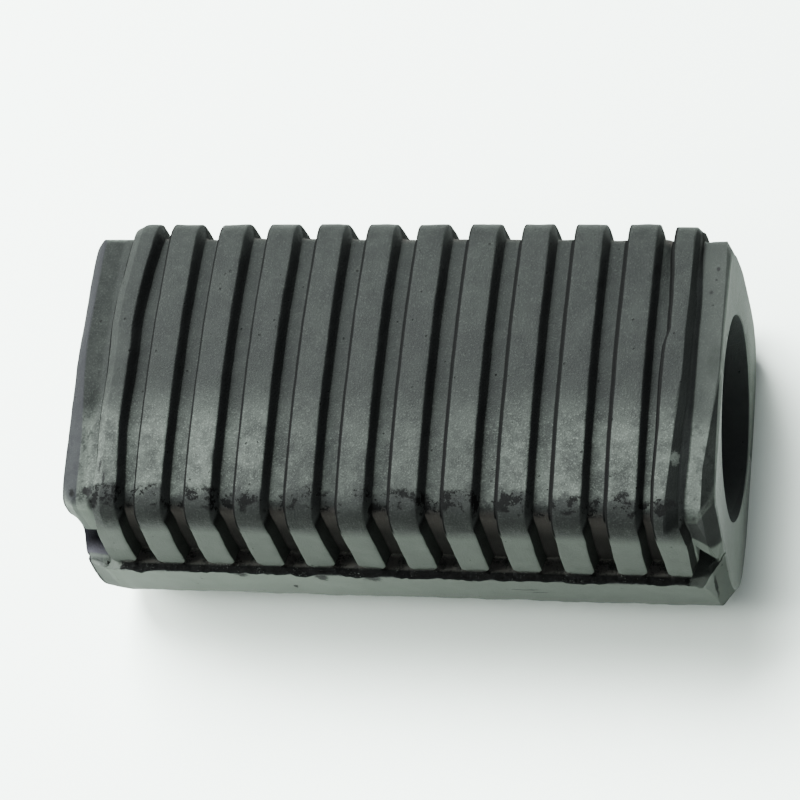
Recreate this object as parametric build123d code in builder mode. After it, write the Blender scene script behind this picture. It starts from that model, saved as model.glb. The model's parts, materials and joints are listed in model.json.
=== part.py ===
from build123d import *
from math import atan2, degrees, sqrt
import os

# Footrest rubber: one moulded sleeve that pushes over a round footrest tube.
# X runs along the bore, Y across, Z up from the flat underside it rests on.
# The mould parts along a ledge: ribbed tread above it, smooth cradle below.
length = 79.0
bore_radius = 12.5

# Rubber left round the bore: under it, at its sides and over it at the groove floors
floor_wall = 3.0
side_wall = 8.8
crown_wall = 2.05

# Cradle, the smooth lower half: leaning sides, rounded bottom corners, and a nose
# at the open end where the sides draw in
ledge_height = 16.0
cradle_side_lean = 0.5
cradle_corner_radius = 9.0
nose_length = 3.6
nose_draw = 2.6

# Tread body, an arch with leaning sides and a low crown, drawn at the groove floors
ledge_width = 0.8
tread_side_lean = 1.05
crown_radius = 100.0
shoulder_radius = 1.7
tread_root = 4.0

# Run-off at both ends of the tread body
runoff_length = 1.6
runoff_depth = 0.7

# Ribs, bands that run over the arch from ledge to ledge. The two end ones are narrower,
# with an easier outer flank, and leave a plain collar before each end face
collar_length = 3.475
rib_count = 12
rib_height = 1.85
rib_crest_width = 3.4
rib_flank_spread = 0.6
rib_edge_bevel = 0.4
rib_sink = 0.8
end_rib_crest_width = 1.6
end_rib_outer_spread = 1.2

# Pinched pockets low in the sides of the collars. Their roof is level at the plain end
# and slopes down to the nose at the other
pocket_depth = 2.2
pocket_height = 6.0
pocket_nose_height = 1.6

half_length = length / 2
bore_height = floor_wall + bore_radius
cradle_half_width = bore_radius + side_wall

tread_foot_half_width = cradle_half_width - ledge_width - rib_height
tread_shoulder_half_width = tread_foot_half_width - tread_side_lean
tread_crest_height = bore_height + bore_radius + crown_wall
shoulder_height = tread_crest_height - crown_radius + sqrt(crown_radius**2 - tread_shoulder_half_width**2)
root_height = ledge_height - tread_root
root_half_width = tread_foot_half_width + tread_side_lean * tread_root / (shoulder_height - ledge_height)

# The inner crest edges keep one pitch over the whole row, end ribs included
end_rib_foot = half_length - collar_length
end_rib_place = end_rib_foot - end_rib_outer_spread - end_rib_crest_width / 2
rib_pitch = (2 * end_rib_place + rib_crest_width - end_rib_crest_width) / (rib_count - 1)


def cradle_outline(place, half_width):
    """The cradle's section at one place along X."""
    with BuildSketch(Plane.YZ.offset(place)) as outline:
        with BuildLine():
            Polyline(
                (-half_width, ledge_height),
                (-half_width + cradle_side_lean, 0),
                (half_width - cradle_side_lean, 0),
                (half_width, ledge_height),
                close=True,
            )
        make_face()
        fillet(outline.vertices().group_by(Axis.Y)[0], radius=cradle_corner_radius)
    return outline.sketch


# Cradle: one section from the plain end to the nose, then a straight-sided draw in
plain_end = cradle_outline(-half_length, cradle_half_width)
nose_start = cradle_outline(half_length - nose_length, cradle_half_width)
nose_end = cradle_outline(half_length, cradle_half_width - nose_draw)
with BuildPart() as cradle:
    extrude(plain_end, amount=length - nose_length)
    loft([nose_start, nose_end], ruled=True)

# The arch that the groove floors and every rib follow, drawn across and up, from one
# root in the cradle over the crown to the other
with BuildLine() as arch:
    side = Line((root_half_width, root_height), (tread_shoulder_half_width, shoulder_height))
    crown = ThreePointArc(side @ 1, (0, tread_crest_height), (-tread_shoulder_half_width, shoulder_height))
    Line(crown @ 1, (-root_half_width, root_height))
    fillet(arch.vertices().group_by(Axis.Y)[-1], radius=shoulder_radius)

# Tread body: the arch run between the run-offs, then drawn in to each end
with BuildPart() as tread:
    with BuildSketch(Plane.YZ):
        with BuildLine():
            add(arch)
            Line(arch.line @ 1, arch.line @ 0)
        make_face()
    extrude(amount=half_length - runoff_length, both=True)
    end_faces = tread.faces().filter_by(Axis.X)
    extrude(end_faces, amount=runoff_length, taper=degrees(atan2(runoff_depth, runoff_length)))

rib_line = Plane.YZ * arch.line
rib_plane = Plane(rib_line @ 0, x_dir=(1, 0, 0), z_dir=rib_line % 0)


def rib_band(crest_width, near_spread, far_spread):
    """One rib: a trapezoid with bevelled crest edges, swept over the arch."""
    half_crest = crest_width / 2
    sink_share = (rib_height + rib_sink) / rib_height
    with BuildPart() as band:
        with BuildSketch(rib_plane) as profile:
            with BuildLine():
                Polyline(
                    (-half_crest - near_spread * sink_share, -rib_sink),
                    (half_crest + far_spread * sink_share, -rib_sink),
                    (half_crest, rib_height),
                    (-half_crest, rib_height),
                    close=True,
                )
            make_face()
            chamfer(profile.vertices().group_by(Axis.Y)[-1], length=rib_edge_bevel)
        sweep(path=rib_line)
    return band.part


rib = rib_band(rib_crest_width, rib_flank_spread, rib_flank_spread)
end_rib = rib_band(end_rib_crest_width, rib_flank_spread, end_rib_outer_spread)

# Pockets: a bite out of each collar side, from the end rib to the end face
with BuildPart() as pockets:
    with BuildSketch(Plane.XZ.offset(tread_foot_half_width - pocket_depth)):
        with BuildLine():
            Polyline(
                (end_rib_foot, ledge_height),
                (end_rib_foot, ledge_height + pocket_height),
                (half_length, ledge_height + pocket_nose_height),
                (half_length, ledge_height),
                close=True,
            )
        make_face()
        with BuildLine():
            Polyline(
                (-end_rib_foot, ledge_height),
                (-end_rib_foot, ledge_height + pocket_height),
                (-half_length, ledge_height + pocket_height),
                (-half_length, ledge_height),
                close=True,
            )
        make_face()
    extrude(amount=pocket_depth + rib_height)
    mirror(about=Plane.XZ)

# The whole moulding as one solid, bored right through
with BuildPart() as footrest_rubber:
    add(tread)
    add(pockets, mode=Mode.SUBTRACT)
    add(cradle)
    with GridLocations(rib_pitch, 0, rib_count - 2, 1):
        add(rib)
    with Locations((end_rib_place, 0, 0), Location((-end_rib_place, 0, 0), (0, 0, 180))):
        add(end_rib)
    with BuildSketch(Plane.YZ):
        with Locations((0, bore_height)):
            Circle(bore_radius)
    extrude(amount=half_length, both=True, mode=Mode.SUBTRACT)

footrest_rubber.part.label = "footrest_rubber"
os.makedirs("parts", exist_ok=True)
export_step(footrest_rubber.part, "parts/footrest_rubber.step")
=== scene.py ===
import json
import math

import bmesh
import bpy
import numpy as np
from mathutils import Matrix, Vector, noise


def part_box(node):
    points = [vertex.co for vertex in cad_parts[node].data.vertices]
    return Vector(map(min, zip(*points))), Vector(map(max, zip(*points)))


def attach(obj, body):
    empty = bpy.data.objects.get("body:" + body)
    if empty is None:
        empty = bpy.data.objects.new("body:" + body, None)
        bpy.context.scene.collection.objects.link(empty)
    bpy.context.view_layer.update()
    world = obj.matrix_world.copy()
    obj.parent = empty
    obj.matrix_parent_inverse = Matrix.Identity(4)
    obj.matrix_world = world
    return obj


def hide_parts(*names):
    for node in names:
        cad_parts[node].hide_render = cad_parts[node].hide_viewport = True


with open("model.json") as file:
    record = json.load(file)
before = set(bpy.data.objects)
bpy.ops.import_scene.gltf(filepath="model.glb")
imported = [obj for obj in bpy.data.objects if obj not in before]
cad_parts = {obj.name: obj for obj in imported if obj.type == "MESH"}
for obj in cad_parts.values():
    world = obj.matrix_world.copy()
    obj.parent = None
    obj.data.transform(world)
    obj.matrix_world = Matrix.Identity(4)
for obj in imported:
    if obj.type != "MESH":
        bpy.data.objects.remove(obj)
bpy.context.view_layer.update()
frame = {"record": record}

mm = 0.001
boreMount = next(m for m in frame["record"]["mounts"] if m["kind"] == "bore")
boreRadius = boreMount["dims"]["r_mm"]
boreHeight = boreMount["pos_m"][2] / mm
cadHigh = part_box("footrest_rubber")[1]
halfLength = cadHigh.x / mm
cradleHalf = cadHigh.y / mm
crestTop = cadHigh.z / mm
print("frame loaded: half length %.1f, half width %.1f, height %.1f mm" % (halfLength, cradleHalf, crestTop))


# Section of the moulding, in mm, as the solid has it
section = {
    "ledgeHeight": 16.0,    # mould parting, ribbed tread above, smooth cradle below
    "sideLean": 0.5,
    "cornerRadius": 9.0,
    "lipRadius": 0.2,       # outer edge of the ledge
    "ledgeStrip": 0.8,      # ledge left outside the ribs
    "footRadius": 0.35,
    "wallLean": 1.05,
    "crownRadius": 100.0,
    "foldRadius": 1.7,
    "ribHeight": 1.85,
}
sectionRows = {"under": 5, "corner": 12, "side": 10, "lip": 4, "ledge": 4,
               "foot": 3, "wall": 18, "fold": 10, "crown": 34}

# Row of ribs, in mm
ribs = {
    "count": 12,
    "pitch": 6.35,
    "crest": 3.4,
    "flank": (0.42, 0.6),   # left and right flank, root to crest
    "endCrest": 1.6,
    "endTerrace": (0.85, 0.6),  # the end ribs' outer flank, out and down, before it drops
    "endFlank": 1.2,
    "crestRadius": (0.05, 0.22),
    "rootRadius": 0.14,
    "step": 0.6,            # longest stretch between two columns of points
}


def selectNothing():
    if bpy.context.object and bpy.context.object.mode != "OBJECT":
        bpy.ops.object.mode_set(mode="OBJECT")
    bpy.ops.object.select_all(action="DESELECT")


def makeActive(piece):
    selectNothing()
    piece.select_set(True)
    bpy.context.view_layer.objects.active = piece


def arc(centre, radius, fromAngle, toAngle, steps):
    turn = np.linspace(fromAngle, toAngle, steps, endpoint=False)
    return [(centre[0] + radius * math.cos(t), centre[1] + radius * math.sin(t)) for t in turn]


def straight(start, end, steps):
    return [tuple(np.add(start, np.subtract(end, start) * k / steps)) for k in range(steps)]


def halfSection(lift):
    # one side of the section, from the middle of the underside to the middle of the crown,
    # with the tread lifted that far off its groove floors
    s, n = section, sectionRows
    ledge, lip, foot = s["ledgeHeight"], s["lipRadius"], s["footRadius"]
    crestFloor = crestTop - s["ribHeight"]
    treadFoot = cradleHalf - s["ledgeStrip"] - s["ribHeight"]
    shoulder = treadFoot - s["wallLean"]
    crownCentre = np.array((0.0, crestFloor - s["crownRadius"]))
    shoulderHeight = crownCentre[1] + math.sqrt(s["crownRadius"] ** 2 - shoulder ** 2)
    lean = math.atan2(s["wallLean"], shoulderHeight - ledge)
    outward = np.array((math.cos(lean), math.sin(lean)))
    upward = np.array((-math.sin(lean), math.cos(lean)))
    # the fold touches both the wall line and the crown
    inside = outward * (outward @ np.array((treadFoot, ledge)) - s["foldRadius"]) - crownCentre
    along = inside @ upward
    reach = math.sqrt(along ** 2 - inside @ inside + (s["crownRadius"] - s["foldRadius"]) ** 2)
    foldCentre = crownCentre + inside + upward * (reach - along)
    crownAngle = math.atan2(foldCentre[1] - crownCentre[1], foldCentre[0])
    foldRadius = s["foldRadius"] + lift
    wallFoot = treadFoot + lift / math.cos(lean)
    sideAngle = math.atan2(s["sideLean"], ledge)
    sideNormal = np.array((math.cos(sideAngle), -math.sin(sideAngle)))
    cornerY = (sideNormal @ np.array((cradleHalf, ledge)) - s["cornerRadius"]
               + s["cornerRadius"] * math.sin(sideAngle)) / math.cos(sideAngle)
    corner = (cornerY, s["cornerRadius"])
    cornerEnd = np.add(corner, sideNormal * s["cornerRadius"])
    wallStart = (wallFoot, ledge + foot)
    wallEnd = foldCentre + outward * foldRadius
    points = straight((0, 0), (cornerY, 0), n["under"])
    points += arc(corner, s["cornerRadius"], -math.pi / 2, -sideAngle, n["corner"])
    points += straight(cornerEnd, (cradleHalf, ledge - lip), n["side"])
    points += arc((cradleHalf - lip, ledge - lip), lip, 0, math.pi / 2, n["lip"])
    points += straight((cradleHalf - lip, ledge), (wallFoot + foot, ledge), n["ledge"])
    points += arc((wallFoot + foot, ledge + foot), foot, -math.pi / 2, -math.pi, n["foot"])
    points += straight(wallStart, wallEnd, n["wall"])
    points += arc(foldCentre, foldRadius, lean, crownAngle, n["fold"])
    points += arc(crownCentre, s["crownRadius"] + lift, crownAngle, math.pi / 2, n["crown"])
    points.append((0.0, crestFloor + lift))
    return np.array(points)


def roundCorners(corners, segments):
    # corners are (x, y, radius); returns the rounded line's points
    points = [corners[0][:2]]
    for before, here, after in zip(corners, corners[1:], corners[2:]):
        a, b, c = (np.array(p[:2], float) for p in (before, here, after))
        toA, toC = (a - b) / np.linalg.norm(a - b), (c - b) / np.linalg.norm(c - b)
        half = math.acos(max(-1.0, min(1.0, toA @ toC))) / 2
        cut = here[2] / math.tan(half)
        middle = b + (toA + toC) / np.linalg.norm(toA + toC) * here[2] / math.sin(half)
        start, end = b + toA * cut - middle, b + toC * cut - middle
        turn = math.atan2(start[0] * end[1] - start[1] * end[0], start @ end)
        for k in range(segments + 1):
            angle = turn * k / segments
            spun = (start[0] * math.cos(angle) - start[1] * math.sin(angle),
                    start[0] * math.sin(angle) + start[1] * math.cos(angle))
            points.append(tuple(middle + spun))
    points.append(corners[-1][:2])
    return points


def fillStretches(points, step):
    filled = [points[0]]
    for a, b in zip(points, points[1:]):
        steps = max(1, math.ceil(math.dist(a, b) / step - 0.01))
        filled += [tuple(np.add(a, np.subtract(b, a) * k / steps)) for k in range(1, steps + 1)]
    return np.array(filled)


def ribRow():
    # the ribs seen from the side: place along the part and lift above the groove floor
    r, height = ribs, section["ribHeight"]
    out, down = r["endTerrace"]
    shelf = height - down
    corners = []
    for i in range(r["count"]):
        centre = (i - (r["count"] - 1) / 2) * r["pitch"]
        left, right = centre - r["crest"] / 2, centre + r["crest"] / 2
        (leftEdge, crest), root = r["crestRadius"], r["rootRadius"]
        rise = [(left - r["flank"][0], 0, root), (left, height, leftEdge)]
        fall = [(right, height, crest), (right + r["flank"][1], 0, root)]
        if i == 0:
            left = right - r["endCrest"]
            rise = [(left - r["endFlank"], 0, root), (left - out, shelf, crest), (left, height, crest)]
        if i == r["count"] - 1:
            right = left + r["endCrest"]
            fall = [(right, height, crest), (right + out, shelf, crest), (right + r["endFlank"], 0, root)]
        corners += rise + fall
    start = (corners[0][0] - r["rootRadius"], 0, 0)
    end = (corners[-1][0] + r["rootRadius"], 0, 0)
    return fillStretches(roundCorners([start, *corners, end], 3), r["step"])


# How each end draws in, from the middle of the underside to the middle of the crown: a place
# on the section (across, up), how far before the end face it starts, and where it arrives
endDraw = {
    "rightFront": [
        (0, 0, 0.3, 0, 0), (6, 0, 0.3, 6, 0), (12.3, 0, 0.6, 11.5, 0.15), (15.5, 0.7, 1.2, 14.6, 1.3),
        (18.3, 2.8, 1.5, 16.9, 2.8), (20, 5.6, 1.5, 18.3, 5.6), (20.9, 9, 1.4, 18.95, 8.5),
        (21.2, 12.4, 1.9, 18.4, 12.2), (21.3, 15.8, 2.6, 17.45, 15.7), (20.9, 16, 2.4, 17.35, 16.1),
        (19.2, 16, 1.5, 17.3, 16.4), (18.65, 16.35, 0.6, 17.25, 16.6), (18.5, 17.5, 0.55, 17, 17.6),
        (18.3, 21.2, 0.92, 16.15, 21.4), (18, 25, 1.8, 15.45, 24.8), (17.6, 27.4, 2.2, 14.95, 27),
        (17.1, 28.3, 1.9, 14.5, 27.45), (16.1, 28.75, 1.5, 13.9, 27.8), (11.9, 29.35, 1.5, 11.2, 28.7),
        (6, 29.87, 0.8, 5.8, 29.5), (0, 30.05, 0.25, 0, 29.9)],
    "rightRear": [
        (0, 0, 0.3, 0, 0), (6, 0, 0.3, 6, 0.05), (12.3, 0, 0.8, 10.7, 0.7), (16, 1.1, 2, 13.7, 2),
        (18.5, 3, 2.5, 15.7, 3.6), (20.4, 6.2, 3, 17, 6.4), (21.2, 11.8, 3.3, 17.6, 11.8),
        (21.3, 15.8, 3.3, 17.75, 15.7), (20.9, 16, 3, 17.7, 15.9), (19.2, 16, 1.5, 17.65, 16.1),
        (18.65, 16.35, 0.8, 17.65, 16.4), (18.3, 21, 0.8, 17.35, 20.6), (18, 25, 0.8, 16.9, 24.8),
        (17.5, 28, 0.8, 16.3, 27.5), (16.2, 28.75, 0.6, 15.1, 28.3), (12, 29.3, 0.4, 11.6, 28.95),
        (6, 29.87, 0.3, 5.9, 29.6), (0, 30.05, 0.25, 0, 29.9)],
    "left": [
        (0, 0, 1, 0, 0), (6, 0, 1, 6, 0.05), (12.3, 0, 2, 11.9, 0.35), (15.5, 0.7, 2.8, 15.2, 1.3),
        (18.3, 2.8, 3, 18.5, 3.5), (20, 5.6, 2.8, 20.2, 6.3), (20.9, 9, 2.5, 21.05, 9.4),
        (21.2, 12.4, 2.5, 20.95, 12.4), (21.3, 15.8, 2.5, 20.1, 16.2), (20.9, 16, 2.2, 19.8, 16.75),
        (19.2, 16, 1.5, 18.6, 17.8), (18.65, 16.35, 1.2, 17.9, 18.3), (18.5, 17.5, 1.2, 17.1, 19.2),
        (18.3, 21.2, 1.2, 16.9, 21.7), (18, 25, 1.3, 17.3, 25.2), (17.6, 27.4, 1.4, 16.9, 27.1),
        (17.1, 28.3, 1.3, 16.4, 27.8), (16.1, 28.75, 1.7, 15.4, 28.2), (11.9, 29.35, 1.85, 11.5, 28.7),
        (0, 30.05, 1.75, 0, 29.4)],
}

# Columns of points on a collar: shares of the way to the draw-in, then shares along it
collarShares = (0.02, 0.2, 0.4, 0.6, 0.8, 0.97)
drawShares = (0.0, 0.06, 0.2, 0.4, 0.6, 0.8, 0.94, 1.0)

# Pinched pockets low in the collar sides, in mm
pockets = {"depth": 2.2, "leftRoof": 21.6, "rightRoof": 21.0, "rightRoofEnd": 17.0,
           "rightClose": 39.0, "rows": 7}


def alongSection(table, outline):
    # the table's values at every row of the half section, with their corners eased
    length = np.concatenate(([0], np.cumsum(np.linalg.norm(np.diff(outline, axis=0), axis=1))))
    marks = []
    for y, z, *values in table:
        marks.append((length[np.argmin(np.hypot(outline[:, 0] - y, outline[:, 1] - z))], *values))
    marks = np.array(sorted(marks))
    columns = [np.interp(length, marks[:, 0], marks[:, k]) for k in range(1, marks.shape[1])]
    for column in columns:
        for _ in range(3):
            column[1:-1] = (column[:-2] + column[2:] + 2 * column[1:-1]) / 4
    return columns


def pocketed(yz, first, last, roof, depth):
    # the wall's lower rows go to the back of the pocket, the next ones sit over its roof
    wallTop, wallBottom = yz[last].copy(), yz[first].copy()
    back = pockets["rows"]
    for k in range(first - sectionRows["foot"], last):
        step = k - first
        if step < 0:
            yz[k, 0] -= depth[k]
            continue
        if step < back:
            z = wallBottom[1] + (roof[k] - wallBottom[1]) * step / (back - 1)
        else:
            z = roof[k] + 0.02 + (wallTop[1] - roof[k] - 0.02) * (step - back) / (last - first - back)
        rise = (z - wallBottom[1]) / (wallTop[1] - wallBottom[1])
        wallY = wallBottom[0] + (wallTop[0] - wallBottom[0]) * rise
        yz[k] = (wallY - (depth[k] if step < back else 0), z)


def collarColumns(side, end, foot, floors, first, last):
    name = "left" if end == "left" else "right" + side
    drawLength, endY, endZ = alongSection(endDraw[name], floors)
    start = halfLength - drawLength

    def onCollar(x):
        yz = floors.copy()
        roof = np.full(len(yz), pockets["leftRoof"])
        depth = np.full(len(yz), pockets["depth"])
        if end == "right":
            fall = np.clip((x - foot) / (pockets["rightClose"] - foot), 0, 1)
            roof = pockets["rightRoof"] + (pockets["rightRoofEnd"] - pockets["rightRoof"]) * fall
            depth = depth * (1 - fall)
        pocketed(yz, first, last, roof, depth)
        return np.column_stack((x, yz))

    columns = [onCollar(foot + (start - foot) * share) for share in collarShares]
    startPoints = onCollar(start)
    endPoints = np.column_stack((np.full(len(endY), halfLength), endY, endZ))
    columns += [startPoints + (endPoints - startPoints) * share for share in drawShares]
    return columns


def sleevePoints():
    floors, crests = halfSection(0.0), halfSection(section["ribHeight"])
    profile = ribRow()
    first = sum(sectionRows[k] for k in ("under", "corner", "side", "lip", "ledge", "foot"))
    last = first + sectionRows["wall"]
    halves = []
    for side, sign in (("Front", -1), ("Rear", 1)):
        columns = [np.column_stack((np.full(len(floors), x),
                                    floors + (crests - floors) * lift / section["ribHeight"]))
                   for x, lift in profile]
        left = collarColumns(side, "left", -profile[0][0], floors, first, last)
        right = collarColumns(side, "right", profile[-1][0], floors, first, last)
        left = [column * (-1, 1, 1) for column in left[::-1]]
        half = np.array(left + columns + right)
        half[:, :, 1] *= sign
        halves.append(half)
    front, rear = halves
    return np.concatenate((front, rear[:, -2::-1]), axis=1)


def buildSleeve(points):
    columns, rows = points.shape[:2]
    selectNothing()
    bpy.ops.mesh.primitive_grid_add(x_subdivisions=columns - 1, y_subdivisions=rows - 1, size=2)
    sleeve = bpy.context.object
    sleeve.name = "rubberMoulding"
    sleeve.data.name = "rubberMoulding"
    grid = np.zeros(len(sleeve.data.vertices) * 3)
    sleeve.data.vertices.foreach_get("co", grid)
    grid = grid.reshape(-1, 3)
    column = np.rint((grid[:, 0] + 1) / 2 * (columns - 1)).astype(int)
    row = np.rint((grid[:, 1] + 1) / 2 * (rows - 1)).astype(int)
    sleeve.data.vertices.foreach_set("co", (points[column, row] * mm).ravel())
    markRibs(sleeve, column, columns)
    sleeve.data.update()
    return sleeve


def markRibs(sleeve, column, columns):
    # for the material: how far up a rib each point is, and the sharp left side of each rib
    profile = ribRow()
    before = (columns - len(profile)) // 2
    lift = np.zeros(columns)
    lift[before:before + len(profile)] = profile[:, 1] / section["ribHeight"]
    crease = np.zeros(columns)
    rising = [i for i in range(1, columns - 1) if max(lift[i + 1] - lift[i], lift[i] - lift[i - 1]) > 0.001]
    step = 1 - ribs["endTerrace"][1] / section["ribHeight"] - 0.03
    onCrest = 0.97
    firstCrest = next(i for i in rising if lift[i] > onCrest)
    # of the left end rib's outer side only the foot counts as a crease
    crease[[i for i in rising if i > firstCrest + 3]] = 1.0
    crease[[i for i in rising if i < firstCrest and lift[i] < 0.35]] = 1.0
    full = np.flatnonzero(lift > onCrest)
    for outer in (lift[:full[0]], lift[full[-1]:]):
        outer[outer > step] = 1.0
    for name, values in (("ribLift", lift), ("ribCrease", crease)):
        layer = sleeve.data.attributes.new(name, "FLOAT", "POINT")
        layer.data.foreach_set("value", values[column])


# Rings from an end's outline to its bore: share of the way in, then how far the ring lies before
# the end face, where it is on the bore's wall
endRings = ((0.06, None), (0.468, None), (0.94, None), (1.0, 0.12), (1.0, 0.4))
mergeDistance = 1e-6
boreCuts = 24


def closeEnds(sleeve):
    # each end's outline goes in to the bore, and the two bore edges are bridged
    makeActive(sleeve)
    bpy.ops.object.mode_set(mode="EDIT")
    bpy.ops.mesh.select_all(action="SELECT")
    bpy.ops.mesh.remove_doubles(threshold=mergeDistance)
    for sign in (-1, 1):
        mesh = bmesh.from_edit_mesh(sleeve.data)
        bpy.ops.mesh.select_all(action="DESELECT")
        bpy.ops.mesh.select_mode(type="EDGE")
        for edge in mesh.edges:
            if edge.is_boundary and edge.verts[0].co.x * sign > 0:
                edge.select_set(True)
        bmesh.update_edit_mesh(sleeve.data)
        for reached, lead in endRings:
            bpy.ops.mesh.extrude_edges_move()
            mesh = bmesh.from_edit_mesh(sleeve.data)
            for vertex in [v for v in mesh.verts if v.select]:
                angle = math.atan2(vertex.co.z - boreHeight * mm, vertex.co.y)
                onBore = Vector((vertex.co.x, math.cos(angle) * boreRadius * mm,
                                 boreHeight * mm + math.sin(angle) * boreRadius * mm))
                vertex.co = vertex.co.lerp(onBore, reached)
                if lead is not None:
                    vertex.co.x = sign * (halfLength - lead) * mm
            bmesh.update_edit_mesh(sleeve.data)
    mesh = bmesh.from_edit_mesh(sleeve.data)
    bpy.ops.mesh.select_all(action="DESELECT")
    for edge in mesh.edges:
        if edge.is_boundary:
            edge.select_set(True)
    bmesh.update_edit_mesh(sleeve.data)
    bpy.ops.mesh.bridge_edge_loops(number_cuts=boreCuts)
    bpy.ops.mesh.select_all(action="SELECT")
    bpy.ops.mesh.remove_doubles(threshold=mergeDistance)
    bpy.ops.mesh.normals_make_consistent(inside=False)
    bpy.ops.object.mode_set(mode="OBJECT")


# What the real moulding has over the mould's plain shape, in mm
handling = {
    "ribShift": ((-30.9, 0.5), (-26.9, 0.47), (-20.5, 0.25), (-7.8, 0.1), (-1.4, 0), (4.9, 0.04),
                 (11.2, 0.24), (17.6, 0.32), (24, 0.45), (31.3, 0.5)),  # the crests lean along the part
    # the end ribs wander: place along the arch (front foot, crown's middle at 0, rear foot), then
    # how far the outer foot, the step and the inner crest edge lie to the right of the mould's
    "leftRib": ((-29, -0.5, -0.55, 0.1), (-25.3, -0.6, -0.65, 0.15), (-21, -0.1, -0.15, 0.5),
                (-17, 0.45, 0.45, 1.1), (-14.5, 0.6, 0.6, 1.1), (-11.5, 0.68, 0.68, 0.9),
                (-8, 0.52, 0.52, 0.68), (-5, 0.57, 0.57, 0.72), (-1.5, 0.7, 0.7, 0.82),
                (2, 0.58, 0.58, 0.88), (5, 0.36, 0.36, 0.66), (8.5, 0.35, 0.35, 0.75),
                (12, 0.75, 0.75, 0.97), (17, 1.0, 1.0, 1.5), (29, 0.2, 0.2, 0.4)),
    # inner crest edge, outer crest edge, step and outer foot
    "rightRib": ((-29, -0.25, -0.1, 0.1, 0.2), (-20, -0.48, 0.0, 0.45, 0.5),
                 (-16.2, -0.53, -0.7, -0.2, 0.13), (-13.3, -0.58, -0.5, -0.18, 0.27),
                 (-10.3, -0.51, -0.27, -0.14, 0.5),
                 (-7.3, -0.43, -0.14, 0, 0.53), (-4.3, -0.47, -0.04, 0.27, 0.52),
                 (-1.2, -0.54, 0.35, 0.3, 0.55), (3.2, -0.4, 0.4, 0.33, 0.54), (4.8, 0.08, 0.32, 0.35, 0.54),
                 (8.4, 0, 0.52, 0.36, 0.55), (11.8, -0.2, 0.45, 0.1, 0.34), (15.2, -0.5, 0.33, 0.05, 0.05),
                 (29, 0, 0, 0.1, 0.1)),
    "rearBulge": 0.45,       # the tread's rear side stands out
    "leftStretch": (0.2, 0.35),  # the left end runs on, in front and behind
    "leftTight": 0.95,       # towards the rear, the top of the left end draws in that much later
    # the tread's rear sinks towards the open end: place along the part, and drop
    "rearDrop": ((20, 0), (27, 0.12), (31, 0.3), (33, 0.85), (36, 0.9), (37, 0.6), (39.5, 0.6)),
    "bottomLift": 0.55,      # front lower corner of the left end, off the table
    "footRound": (0.95, 0.75),  # lower corners of the ribs, left and right
    "lip": (0.02, 0.4),      # flash standing out from the ledge, least and most
    "wave": ((7.0, 0.14), (2.2, 0.08), (0.9, 0.036)),  # unevenness, grain and height
}


def ease(value, low, high):
    t = np.clip((value - low) / (high - low), 0, 1)
    return t * t * (3 - 2 * t)


def noiseAt(places, grain, seed):
    return np.array([noise.noise(Vector(p)) for p in places / grain + seed])


def edgeShift(x, places, values):
    moved = values[0]
    for a, b, u, v in zip(places, places[1:], values, values[1:]):
        moved = moved + (v - u) * np.clip((x - a) / (b - a), 0, 1)
    return moved


def alongArch(table, along):
    rows = np.array(table)
    return [np.interp(along, rows[:, 0], column) for column in rows[:, 1:].T]


def leanRibs(x, y, z):
    # how far each point moves along the part
    h, r = handling, ribs
    upper = ease(z, 20, 27)
    fade = np.where(x < 0, upper, 0.3 + 0.7 * upper)
    places, shifts = zip(*h["ribShift"])
    shift = np.interp(x, places, shifts) * fade
    along = np.clip(y, -17, 17) + np.sign(y) * np.clip(28 - z, 0, None)
    edge = (r["count"] - 1) / 2 * r["pitch"] - r["crest"] / 2   # inner crest edge of an end rib
    crest, step, foot = (edge + d for d in (r["endCrest"], r["endCrest"] + r["endTerrace"][0],
                                            r["endCrest"] + r["endFlank"]))
    footShift, stepShift, edgeMove = alongArch(h["leftRib"], along)
    left = edgeShift(x, (-foot - 2.2, -foot, -step, -crest, -edge, r["flank"][1] - edge, places[0]),
                     (0, footShift, stepShift, (stepShift + edgeMove) / 2, edgeMove, edgeMove,
                      shifts[0] * fade))
    edgeMove, crestShift, stepShift, footShift = alongArch(h["rightRib"], along)
    right = edgeShift(x, (places[-1], edge - r["flank"][0], edge, crest, step, foot, foot + 2.2),
                      (shifts[-1] * fade, edgeMove, edgeMove, crestShift, stepShift, footShift, 0))
    return np.where(x < places[0], left, np.where(x > places[-1], right, shift))


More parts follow.
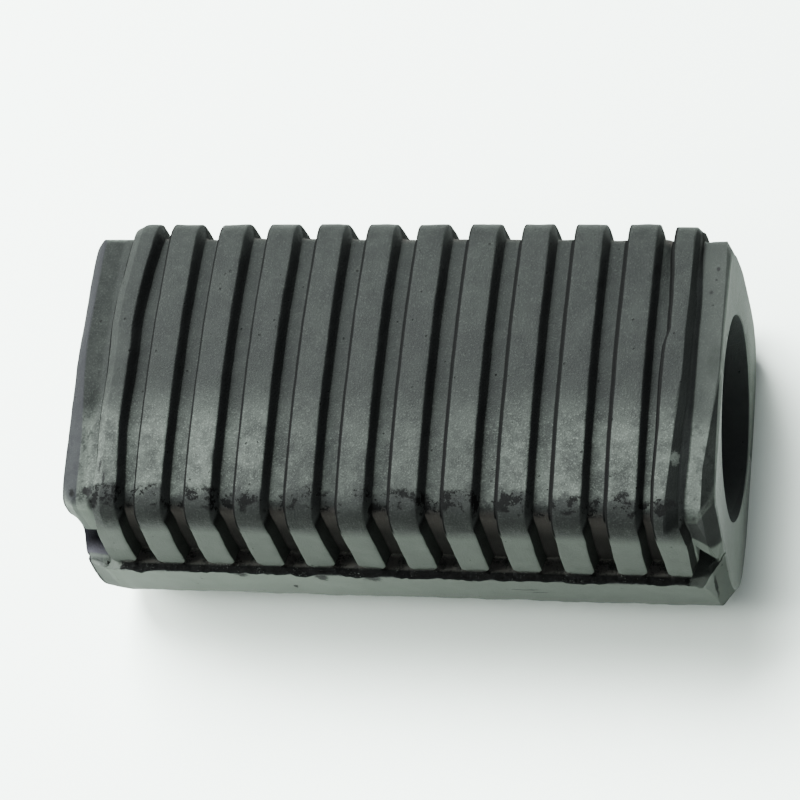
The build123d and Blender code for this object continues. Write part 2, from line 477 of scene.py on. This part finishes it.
def handle(sleeve):
    h = handling
    co = np.zeros(len(sleeve.data.vertices) * 3)
    sleeve.data.vertices.foreach_get("co", co)
    co = co.reshape(-1, 3) / mm
    x, y, z = co[:, 0].copy(), co[:, 1].copy(), co[:, 2].copy()
    inBore = np.hypot(y, z - boreHeight) < boreRadius + 0.6   # the bore's wall and edge stay round
    outer = np.where(inBore, 0.0, 1.0)
    ledge = section["ledgeHeight"]
    aboveLedge = z > ledge + 0.05

    # the ribs' lower corners are rounded
    r = ribs
    nearest = np.clip(np.rint(x / r["pitch"] + (r["count"] - 1) / 2), 0, r["count"] - 1)
    across = x - (nearest - (r["count"] - 1) / 2) * r["pitch"]
    onWall = outer * (np.abs(y) > 18.2) * aboveLedge
    rise = z - ledge - 0.25
    for sign, radius in zip((-1, 1), h["footRound"]):
        short = np.clip(radius - rise, 0, radius)
        cut = radius - np.sqrt(radius ** 2 - short ** 2)
        co[:, 0] -= sign * cut * np.clip(across * sign / 1.6, 0, 1) * onWall
    # low down, the end ribs' outer step is filled out to the crest
    edge = (r["count"] - 1) / 2 * r["pitch"] - r["crest"] / 2 + r["endCrest"]
    out, down = r["endTerrace"]
    fill = np.interp(np.abs(x), (edge, edge + out, edge + r["endFlank"]), (0, down, 0), 0, 0)
    co[:, 1] += np.sign(y) * fill * ease(28 - z, 0, 3) * aboveLedge * outer
    co[:, 0] += leanRibs(x, y, z) * outer * (z > 16.1)

    # the whole moulding is a little out of true
    co[:, 1] += h["rearBulge"] * ease(y, 6, 17) * ease(z, 14, 18) * outer
    tight = h["leftTight"] * ease(y, -12, 4) * ease(z, 24, 27) * outer
    co[:, 0] -= tight * np.interp(x, (-39.5, -37.7, -36), (0, 1, 0))
    front, rear = h["leftStretch"]
    co[:, 0] -= (front + (rear - front) * ease(y, -18, 18)) * ease(-x, 36, 39.2)
    drop = np.interp(x, *zip(*h["rearDrop"]))
    co[:, 2] -= drop * ease(y, 2, 16) * ease(z, 23, 28.5) * outer
    co[:, 2] += h["bottomLift"] * ease(-x, 36.2, 39) * (1 - ease(z, 0.5, 6)) * ease(-y, 7, 14) * outer

    # ragged flash along the ledge
    least, most = h["lip"]
    onLip = np.exp(-((z - 15.9) / 0.22) ** 2) * ease(np.abs(y), 20.2, 20.9) * outer
    ragged = np.column_stack((x, 3 * np.sign(y), np.zeros(len(x))))
    coarse, fine = noiseAt(ragged, 2.6, 5.2), noiseAt(ragged, 0.7, 9.1)
    stand = least + (most - least) * np.clip(0.35 + 0.9 * coarse + 0.5 * fine, 0, 1)
    co[:, 1] += np.sign(y) * stand * onLip
    co[:, 2] -= 0.5 * stand * onLip

    for grain, amount in h["wave"]:
        shake = np.stack([noiseAt(co, grain, seed) for seed in (11.3, 27.9, 43.1)], 1)
        keep = outer * ease(z, 0.0, 0.8)
        co += shake * amount * keep[:, None] * (0.35, 1, 1)
    sleeve.data.vertices.foreach_set("co", (co * mm).ravel())
    sleeve.data.update()


points = sleevePoints()
print("sleeve: %d columns, %d rows" % points.shape[:2])
rubber = buildSleeve(points)
closeEnds(rubber)
handle(rubber)
makeActive(rubber)
bpy.ops.object.shade_smooth_by_angle(angle=math.radians(35))
print("sleeve: %d faces" % len(rubber.data.polygons))


class Field:
    # a number or colour that varies over the surface: one socket, and sums are written as sums
    def __init__(self, tree, socket=None):
        self.tree, self.socket = tree, socket

    def node(self, kind, settings=None, sockets=None, output=0):
        made = self.tree.nodes.new(kind)
        for name, setting in (settings or {}).items():
            setattr(made, name, setting)
        for name, value in (sockets or {}).items():
            if isinstance(value, Field):
                self.tree.links.new(value.socket, made.inputs[name])
            else:
                made.inputs[name].default_value = value
        return Field(self.tree, made.outputs[output])

    def calculate(self, operation, *terms):
        return self.node("ShaderNodeMath", {"operation": operation}, dict(enumerate(terms)))

    def __add__(self, other):
        return self.calculate("ADD", self, other)

    def __radd__(self, other):
        return self.calculate("ADD", other, self)

    def __sub__(self, other):
        return self.calculate("SUBTRACT", self, other)

    def __rsub__(self, other):
        return self.calculate("SUBTRACT", other, self)

    def __mul__(self, other):
        return self.calculate("MULTIPLY", self, other)

    def __rmul__(self, other):
        return self.calculate("MULTIPLY", other, self)

    def __neg__(self):
        return 0 - self

    def __abs__(self):
        return self.calculate("ABSOLUTE", self)

    def most(self, *others):
        # the largest of them all
        largest = self
        for other in others:
            largest = largest.calculate("MAXIMUM", largest, other)
        return largest

    def rising(self, low, high):
        # 0 below low, 1 above high, eased between
        return self.node("ShaderNodeMapRange", {"interpolation_type": "SMOOTHSTEP"},
                         {"Value": self, "From Min": low, "From Max": high})

    def falling(self, low, high):
        return 1 - self.rising(low, high)

    def between(self, low, lowFull, highFull, high):
        # 1 from lowFull to highFull, eased to 0 at low and high
        return self.rising(low, lowFull) * self.falling(highFull, high)

    def noise(self, size, detail=2.0, roughness=0.5, stretch=(1, 1, 1)):
        # self is a place in mm; size is the noise's grain in mm
        squeezed = self.node("ShaderNodeVectorMath", {"operation": "DIVIDE"}, {0: self, 1: stretch})
        return self.node("ShaderNodeTexNoise", {}, {"Vector": squeezed, "Scale": 1 / size,
                                                    "Detail": detail, "Roughness": roughness})

    def patch(self, centre, radii, ragged=0.0):
        # self is a place in mm; 1 inside an ellipse there, 0 outside it
        away = self.node("ShaderNodeVectorMath", {"operation": "SUBTRACT"}, {0: self, 1: centre})
        away = away.node("ShaderNodeVectorMath", {"operation": "DIVIDE"}, {0: away, 1: radii})
        away = away.node("ShaderNodeVectorMath", {"operation": "LENGTH"}, {0: away}, "Value") + ragged
        return away.falling(0.5, 1.1)

    def blend(self, share, other):
        # from this colour to the other
        return self.node("ShaderNodeMix", {"data_type": "RGBA"}, {0: share, 6: self, 7: other}, 2)


# Colours, gloss and places of the finish. Places are in mm. Of two values a mask is 0 at one and 1
# at the other, and of four it is 1 between the middle ones
rubberFinish = {
    "rubber": (0.005, 0.0054, 0.0052, 1),
    # dust, which also paints sheen on the rib walls, the cradle and the collars' sides, and a reflection on
    # the open end's face
    "dustAndSheen": (0.168, 0.187, 0.165, 1),
    # breaks, pits and marks, and painted shade along the ribs' left sides and low on the side groove floors
    "tearAndShade": (0.005, 0.005, 0.005, 1),
    "ior": 1.18,
    "gloss": 0.67,            # roughness of the clean rubber
    "dustyGloss": 0.7,
    "wetGloss": 0.34,         # fresh breaks and the flash on the ledge
    "mattGloss": 0.9,
    "cutGloss": 0.3,          # trimmed faces at the open end
    "violet": (0.0105, 0.0102, 0.0118, 1),  # painted reflection of the bluish window light on the left end's facets
    # brownish side groove floors, darkened towards the bottom as painted shade
    "grooveFloorShade": (0.032, 0.028, 0.0265, 1),
    "shade": (0.012, 0.0125, 0.0125, 1),  # the ribs' flanks on the crown, and the bore's rim
    "boreShade": (0.036, 0.038, 0.038, 1),
    "debris": (0.07, 0.066, 0.06, 1),
    "pocket": (0.055, 0.051, 0.062, 1),   # painted light, lilac, in the left end's pocket
    "flankShade": (0.0015, 0.0015, 0.0015, 1),  # painted shade on the ribs' flanks deep in the side grooves
    "bumpDepth": 0.1,
    "tread": (16.0, 16.1),    # height, from the ledge up
    "crown": (27.6, 28.7),    # height
    "dustFront": (-16.9, -15.6, -9.0, -2.0),  # across the crown
    "tornFront": (-18.4, -17.4, -15.9, -15.0),
    "rowEnd": (34.6, 35.4),   # from the middle of the part, where the rib row ends
    "leftCollar": (36.0, 36.6),
    "flash": (15.4, 16.75),   # dark strip along the ledge, from and to, in height
    # dull patches, each a centre and radii: right collar, left collar and its front corner
    "smudges": [
        ((38.7, 1.2, 29.0), (1.1, 2.6, 9)), ((-36.7, -4.3, 29.0), (1.0, 1.8, 9)),
        ((-37.3, -16.3, 28.0), (2.0, 0.9, 9)),
    ],
    # dark spots, each a centre and radii: pits on the right collar, teeth of the flash, a pit and two
    # scratches in the cradle, chips and a scar at the left collar, and the cracked corner and a blob
    # at the open end
    "marks": [
        ((38.16, 13.8, 29), (0.25, 0.3, 9)), ((38.03, 12.2, 29), (0.25, 0.3, 9)),
        ((37.55, 10.5, 29), (0.3, 0.3, 9)),
        ((-20.2, -21.3, 15.2), (0.9, 3, 1.6)), ((-9.8, -21.3, 15.2), (0.8, 3, 1.7)),
        ((-3.8, -21.3, 15.2), (1.3, 3, 1.4)),
        ((-14.3, -21.3, 10.4), (0.3, 3, 0.5)), ((14.5, -21.3, 11.9), (2.6, 3, 0.16)),
        ((16.3, -21.3, 10.9), (1.6, 3, 0.14)),
        ((-38.3, -16.1, 28), (0.5, 0.7, 9)), ((-36.4, -15.9, 28), (0.8, 0.6, 9)),
        ((-34.4, -13.3, 30), (0.25, 0.9, 9)), ((-33.75, -15.2, 30), (0.2, 1.0, 9)),
        ((38.1, -20.3, 12.8), (0.16, 3, 2.4)), ((37.6, -19.5, 5.8), (0.9, 3, 0.9)),
    ],
}


class Surface:
    # what the finish goes by at a point: its place in mm, noises, and masks of the moulding's regions
    def __init__(self, tree):
        look = rubberFinish
        metres = Field(tree).node("ShaderNodeTexCoord", output="Object")
        place = metres.node("ShaderNodeVectorMath", {"operation": "SCALE"}, {0: metres, "Scale": 1 / mm})
        x, y, z = (place.node("ShaderNodeSeparateXYZ", {}, {0: place}, axis) for axis in "XYZ")
        lift, crease = (Field(tree).node("ShaderNodeAttribute", {"attribute_name": name}, output="Fac")
                        for name in ("ribLift", "ribCrease"))
        self.place, self.x, self.y, self.z, self.lift = place, x, y, z, lift
        self.cloud = place.noise(5.0, 6.0, 0.65)
        self.mottle = place.noise(1.3, 5.0, 0.65)
        self.grain = place.noise(0.22, 3.0, 0.7)
        self.streaks = place.noise(0.3, 3.0, 0.6, (1, 14, 3))
        self.lumps = place.noise(2.4, 3.0, 0.5)
        self.wandering = y + (self.mottle - 0.5) * 3.4 + (self.cloud - 0.5) * 3.0
        self.openHalf = x.rising(0.0, 1.0)
        self.tread = z.rising(*look["tread"])
        self.crown = z.rising(*look["crown"])
        self.belowCrown = 1 - self.crown
        self.flank = lift.rising(0.02, 0.12) * lift.falling(0.9, 0.97) * self.tread
        self.creased = crease.rising(0.62, 0.88) * z.rising(26.0, 27.5)
        self.collarTop = abs(x).rising(*look["leftCollar"]) * z.rising(26.9, 27.5)
        self.bareEnd = x.rising(39.3, 39.4)
        # the facets where the collars draw in to the end faces
        self.leftEnd = -x - handling["leftTight"] * y.rising(-12.0, 4.0) * z.rising(24.0, 27.0)
        rightFacet = (x - 0.12 * (y + 12).most(0.0)).rising(37.95, 38.05)
        self.drawnIn = rightFacet.most(self.leftEnd.rising(37.6, 37.8))
        fromAxis = y * y + (z - boreHeight) * (z - boreHeight)
        self.inBore = fromAxis.falling(boreRadius ** 2, boreRadius ** 2 + 6)


def shadedGrooveFloors(s):
    # the side grooves' floors: brownish, and darker towards the bottom as painted shade
    floor = s.lift.falling(0.03, 0.2) * s.belowCrown
    grooveFloorShade = floor * abs(s.y).between(16.6, 17.4, 19.3, 19.6) * s.z.rising(16.0, 16.3)
    return grooveFloorShade * abs(s.x).falling(*rubberFinish["rowEnd"])


def bareStep(s):
    # the right end rib's outer step holds hardly any dust, but for one patch, which is a painted highlight
    pastEdge = s.x - 35.2 + 0.074 * (-1 - s.y).most(0.0)
    bare = pastEdge.rising(0.0, 0.12) * s.x.falling(36.3, 36.5) * s.lift.rising(0.5, 0.6) * s.crown
    return bare * (1 - s.place.patch((35.0, -11.2, 31), (0.7, 0.9, 9), (s.grain - 0.5) * 2))


def leftPocket(s):
    inPocket = (-s.x).rising(36.0, 36.3) * s.tread * s.z.falling(21.2, 21.8)
    return inPocket * abs(s.y).falling(19.4, 19.8)


def crownDust(s, step):
    front = s.wandering.between(*rubberFinish["dustFront"]) * abs(s.x).falling(36.0, 37.2)
    front = front * (1 - 0.58 * s.x.rising(-19.0, -8.0) + 0.5 * s.x.rising(8.0, 18.0))
    patchy = (s.cloud * 0.55 + s.mottle * 0.45).rising(0.36, 0.66)
    speckle = s.grain.rising(0.5, 0.72)
    dustAndSheen = s.crown * (front * (0.08 + 0.34 * patchy + 0.36 * speckle) + 0.07 * patchy + 0.16 * speckle)
    collars = s.collarTop * (-s.y).rising(5.0, 8.0) * (0.3 + 0.7 * s.mottle.rising(0.4, 0.5))
    dustAndSheen = dustAndSheen * (1 - 0.95 * step) + 0.45 * collars * (s.grain + 0.2)
    return dustAndSheen + 0.11 * s.collarTop * s.openHalf


def wallDustAndSheen(s, grooveFloorShade, pocket):
    # dust on the sides, with painted sheen that lightens the rib walls and the cradle, the cradle more
    # towards the left
    x, y, z = s.x, s.y, s.z
    patchy = 0.3 + 0.3 * s.cloud + 0.25 * s.mottle
    walls = z.falling(25.0, 28.0) * abs(y).rising(15.5, 17.0) * patchy * (1 - grooveFloorShade)
    fold = z.between(25.0, 27.0, 28.2, 29.0) * abs(y).rising(16.4, 17.4) * s.streaks.rising(0.5, 0.75)
    cradle = (1 - s.tread) * abs(y).rising(19.5, 20.5) * (0.1 + 0.4 * x.falling(-20, 20))
    walls = walls + fold * 0.15 + cradle
    # painted light and dust on the collars' sides: all over the left one's, and on the right one's only in
    # front, from the slope over its pocket down
    underSlope = (z + 1.43 * (x - 36.2) - 21.0).falling(2.2, 3.0)
    onCollars = (x.falling(-1.0, 1.0) * 1.2).most(underSlope * y.falling(-1.0, 1.0))
    collars = s.belowCrown * abs(x).rising(35.8, 36.6) * s.tread * abs(y).falling(19.8, 20.2)
    walls = walls * (1 - collars) + collars * onCollars
    return walls * abs(x).falling(39.3, 39.42) * (1 - 0.9 * pocket)


def tornEdge(s):
    torn = s.wandering.between(*rubberFinish["tornFront"]) * s.z.rising(27.6, 28.2)
    torn = torn * (s.lumps * 0.4 + s.mottle * 0.4 + s.grain * 0.2).rising(0.505, 0.53)
    return torn * s.cloud.rising(0.36, 0.44) * abs(s.x).falling(35.8, 36.2)


def smallPits(s):
    cells = s.place.node("ShaderNodeTexVoronoi", {"feature": "F1"}, {"Vector": s.place, "Scale": 0.8})
    return cells.falling(0.09, 0.15) * s.mottle.rising(0.54, 0.62)


def ledgeFlash(s):
    # the dark ragged strip along the ledge, and the debris lying on the ledge between the ribs
    x, y, z = abs(s.x), abs(s.y), s.z
    low, high = rubberFinish["flash"]
    jag = (s.mottle - 0.5) * 1.5 + (s.grain - 0.5) * 0.8
    strip = (z + jag).rising(low, low + 0.12) * (z - 0.6 * jag).falling(high - 0.4, high)
    strip = strip * y.rising(17.4, 18.2) * (x + jag).falling(35.2, 35.6)
    debris = y.between(17.0, 18.0, 20.2, 20.6) * z.between(15.7, 15.9, 16.3, 17.0)
    debris = debris * x.falling(*rubberFinish["rowEnd"])
    debris = debris * (0.2 + 0.8 * (s.mottle * 0.6 + s.grain * 0.4).rising(0.4, 0.56))
    return strip * (1 - 0.85 * debris), debris


def mouldedRubber():
    look = rubberFinish
    material = bpy.data.materials.new("mouldedRubber")
    material.use_nodes = True
    tree = material.node_tree
    shader = tree.nodes["Principled BSDF"]
    shader.inputs["IOR"].default_value = look["ior"]
    s = Surface(tree)
    mottle, grain = s.mottle, s.grain

    grooveFloorShade, pocket, step = shadedGrooveFloors(s), leftPocket(s), bareStep(s)
    torn, pits = tornEdge(s), smallPits(s)
    flash, debris = ledgeFlash(s)
    # the ribs' flanks on the side walls, painted in shade
    deep = s.flank * s.belowCrown
    rightFacet = s.drawnIn * s.openHalf
    dustAndSheen = crownDust(s, step) + wallDustAndSheen(s, grooveFloorShade, pocket)
    dustAndSheen = dustAndSheen * (1 - 0.85 * s.drawnIn * (s.crown + 0.3 * s.belowCrown)) * (1 - 0.9 * s.flank)
    # painted reflection on the open end's face, lighter towards the bottom
    dustAndSheen = dustAndSheen + s.bareEnd * (0.4 + 0.6 * s.z.falling(4.0, 16.0))
    ragged = (mottle - 0.5) * 2.5 + (grain - 0.5) * 1.2
    marks = [s.place.patch(centre, radii, ragged) for centre, radii in look["marks"]]
    # dark: breaks, the ledge strip, pits and marks, with painted shade along the ribs' left sides (the
    # creases) and low on the side groove floors
    dark = torn.most(flash, pits * 0.8, s.creased, grooveFloorShade * s.z.falling(21.5, 27.0) * 0.72, *marks)

    colour = Field(tree).node("ShaderNodeRGB")
    colour.socket.default_value = look["rubber"]
    specks = flash * grain.rising(0.6, 0.66) * mottle.rising(0.5, 0.6)
    # painted here: a reflection on the left end, shade on the ribs' flanks, the groove floors and in the
    # bore, light in the left pocket, and sheen and a reflection with the dust
    for share, name in (
        (s.leftEnd.rising(37.5, 37.8), "violet"), (grooveFloorShade, "grooveFloorShade"),
        ((s.flank * s.crown).most(s.inBore), "shade"), (deep, "flankShade"), (s.inBore, "boreShade"),
        (pocket, "pocket"), (dustAndSheen * 0.42, "dustAndSheen"), (dark, "tearAndShade"), (debris, "debris"),
        (specks * 0.5, "dustAndSheen"),
    ):
        colour = colour.blend(share, look[name])

    roughness = look["gloss"] + (look["dustyGloss"] - look["gloss"]) * dustAndSheen.rising(0.0, 0.4)
    roughness = roughness + (grain - 0.5) * 0.2 + (mottle - 0.5) * 0.16 + (s.cloud - 0.5) * 0.14
    leftCollar = (-s.x).rising(*look["leftCollar"])
    matt = s.creased.most(grooveFloorShade, s.flank * 0.7, leftCollar * 0.8, rightFacet * s.belowCrown)
    cut = rightFacet * s.crown.most(s.bareEnd)
    for share, name in ((torn.most(flash), "wetGloss"), (matt, "mattGloss"), (cut, "cutGloss")):
        roughness = roughness * (1 - share) + look[name] * share

    height = grain * 0.8 + mottle * 0.25 + s.lumps * 0.4 + s.streaks * 0.2 - pits * 1.2 - torn * 0.4
    height = height + flash * mottle * 2.6
    bump = colour.node("ShaderNodeBump", {}, {"Strength": 1.0, "Distance": look["bumpDepth"] * mm,
                                              "Height": height})
    tree.links.new(colour.socket, shader.inputs["Base Color"])
    tree.links.new(roughness.socket, shader.inputs["Roughness"])
    tree.links.new(bump.socket, shader.inputs["Normal"])

    # cracks and breaks give no sheen; the creases and the side grooves' flanks and floors lose theirs as
    # painted shade
    smudge, *smudges = [s.place.patch(centre, radii) for centre, radii in look["smudges"]]
    smudge = smudge.most(*smudges) * (mottle * 0.5 + grain * 0.5).rising(0.38, 0.55)
    sheenless = s.creased.most(torn, step * 0.75, smudge * 0.7, rightFacet * s.crown * 0.75,
                               flash * 0.5, deep * 0.7, grooveFloorShade * 0.75, pocket * 0.85)
    plain = colour.node("ShaderNodeBsdfDiffuse", {}, {"Color": colour, "Normal": bump})
    mixed = plain.node("ShaderNodeMixShader", {}, {0: sheenless, 2: plain})
    tree.links.new(shader.outputs[0], mixed.socket.node.inputs[1])
    tree.links.new(mixed.socket, tree.nodes["Material Output"].inputs["Surface"])
    return material


rubber.data.materials.clear()
rubber.data.materials.append(mouldedRubber())
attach(rubber, "root")
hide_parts("footrest_rubber")
print("rubber finished")


# Camera, as measured from the photograph: place in mm, and the frame's three directions
view = {
    "place": (90.17, -137.46, 360.27),
    "right": (0.9703, 0.1025, -0.2190),
    "up": (-0.0126, 0.9259, 0.3775),
    "focalPixels": 3097.4,
    "framePixels": 800,
    "sensor": 36.0,
}


def addCamera():
    data = bpy.data.cameras.new("photoCamera")
    data.sensor_width = view["sensor"]
    data.lens = view["focalPixels"] / view["framePixels"] * view["sensor"]
    data.clip_start, data.clip_end = 0.01, 20
    camera = bpy.data.objects.new("photoCamera", data)
    bpy.context.scene.collection.objects.link(camera)
    right = Vector(view["right"]).normalized()
    up = Vector(view["up"])
    up = (up - right * up.dot(right)).normalized()
    turn = Matrix((right, up, right.cross(up))).transposed()
    camera.matrix_world = Matrix.Translation(Vector(view["place"]) * mm) @ turn.to_4x4()
    bpy.context.scene.camera = camera


# Room, table and lights: places and sizes in m, power in W
room = {"air": (0.85, 0.93, 0.95, 1), "strength": 0.42,
        "table": (0.85, 0.90, 0.84, 1), "tableGloss": 0.6, "tableSize": 3}
softboxes = {
    "window": {"place": (-0.4, 0.01, 0.26), "size": (0.35, 0.3), "power": 8.6,
               "colour": (0.93, 1.0, 0.965)},
    "key": {"place": (-0.46, 0.64, 1.28), "size": (0.85, 0.7), "power": 148,
            "colour": (0.92, 1.0, 0.985)},
}


def addSoftbox(name, box):
    # a soft rectangular light that shines at the middle of the table
    data = bpy.data.lights.new(name, "AREA")
    data.shape = "RECTANGLE"
    data.size, data.size_y = box["size"]
    data.energy = box["power"]
    data.color = box["colour"]
    lamp = bpy.data.objects.new(name, data)
    bpy.context.scene.collection.objects.link(lamp)
    aim = -Vector(box["place"])
    turn = aim.to_track_quat("-Z", "Y").to_matrix().to_4x4()
    lamp.matrix_world = Matrix.Translation(box["place"]) @ turn


def addTable():
    selectNothing()
    bpy.ops.mesh.primitive_plane_add(size=room["tableSize"], location=(0, 0, 0))
    table = bpy.context.object
    table.name = "table"
    material = bpy.data.materials.new("paleTable")
    material.use_nodes = True
    shader = material.node_tree.nodes["Principled BSDF"]
    shader.inputs["Base Color"].default_value = room["table"]
    shader.inputs["Roughness"].default_value = room["tableGloss"]
    table.data.materials.append(material)


def addRoom():
    world = bpy.data.worlds.new("room")
    bpy.context.scene.world = world
    world.use_nodes = True
    background = world.node_tree.nodes["Background"]
    background.inputs["Color"].default_value = room["air"]
    background.inputs["Strength"].default_value = room["strength"]


addCamera()
addTable()
addRoom()
for name, box in softboxes.items():
    addSoftbox(name, box)
print("camera, table and lights in place")
